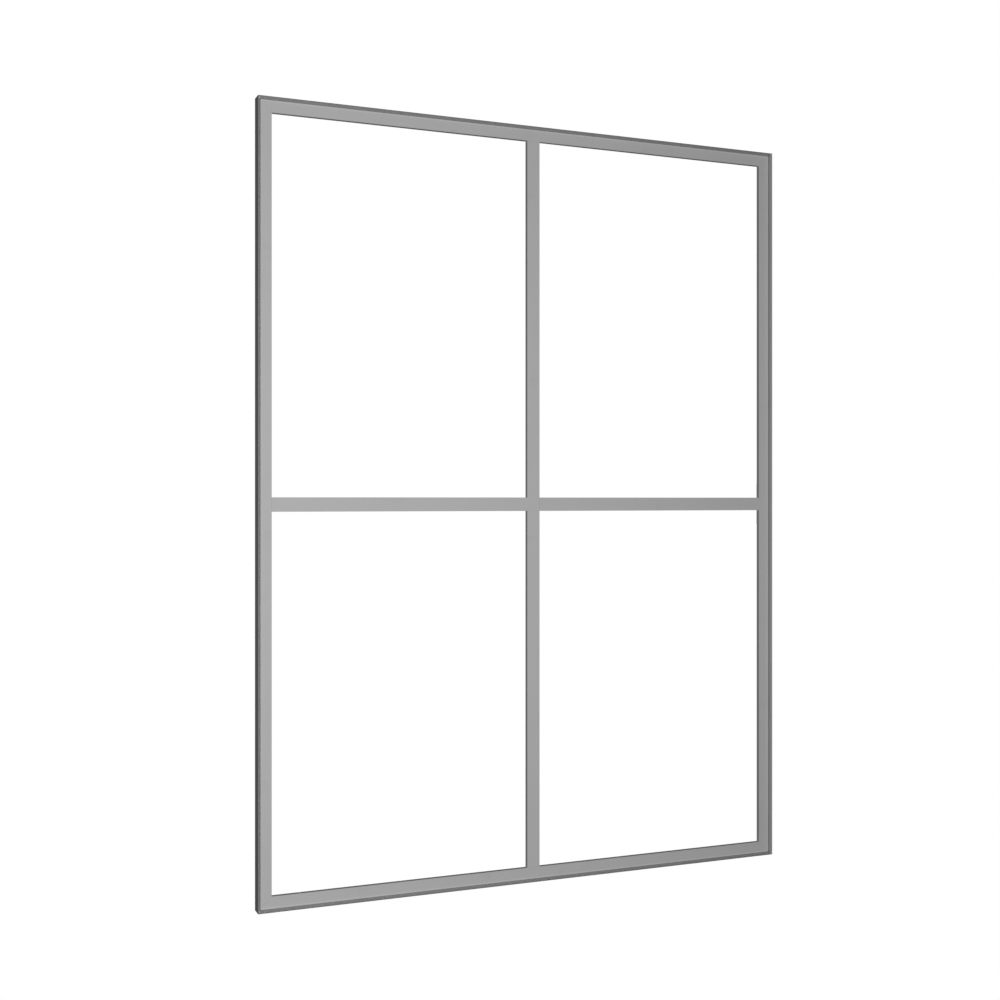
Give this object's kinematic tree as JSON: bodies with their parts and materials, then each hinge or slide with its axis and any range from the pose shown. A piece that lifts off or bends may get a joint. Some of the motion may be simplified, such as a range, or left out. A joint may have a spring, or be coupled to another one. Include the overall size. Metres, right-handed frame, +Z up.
{
  "type": "exhibition wall panel frame",
  "caption": "Tall upright wall panel frame of mitred aluminium extrusions with a centre mullion and transom, open bays and a narrow front slot for stretched fabric.",
  "frame": {"origin": "middle of the bottom rail's outer face, at floor level and at half the frame's depth", "axes": "+X across the panel to the right seen from the front, -Y out of the front, +Z up"},
  "size_m": [1.85, 0.045, 2.5],
  "materials": {
    "anodised_extrusion": "satin natural anodised extrusion with fine lengthwise lines",
    "cast_cleat": "dull die-cast, tumbled",
    "bracket_plate": "satin anodised plate with deburred edges"
  },
  "bodies": {
    "root": {"left_stile": "anodised_extrusion", "top_rail": "anodised_extrusion", "right_stile": "anodised_extrusion", "bottom_rail": "anodised_extrusion", "centre_mullion": "anodised_extrusion", "left_transom": "anodised_extrusion", "right_transom": "anodised_extrusion", "cleat_bottom_left": "cast_cleat", "cleat_top_left": "cast_cleat", "cleat_top_right": "cast_cleat", "cleat_bottom_right": "cast_cleat", "tee_bracket_top": "bracket_plate", "tee_bracket_bottom": "bracket_plate", "tee_bracket_left": "bracket_plate", "tee_bracket_right": "bracket_plate", "cross_bracket": "bracket_plate"}
  },
  "joints": []
}
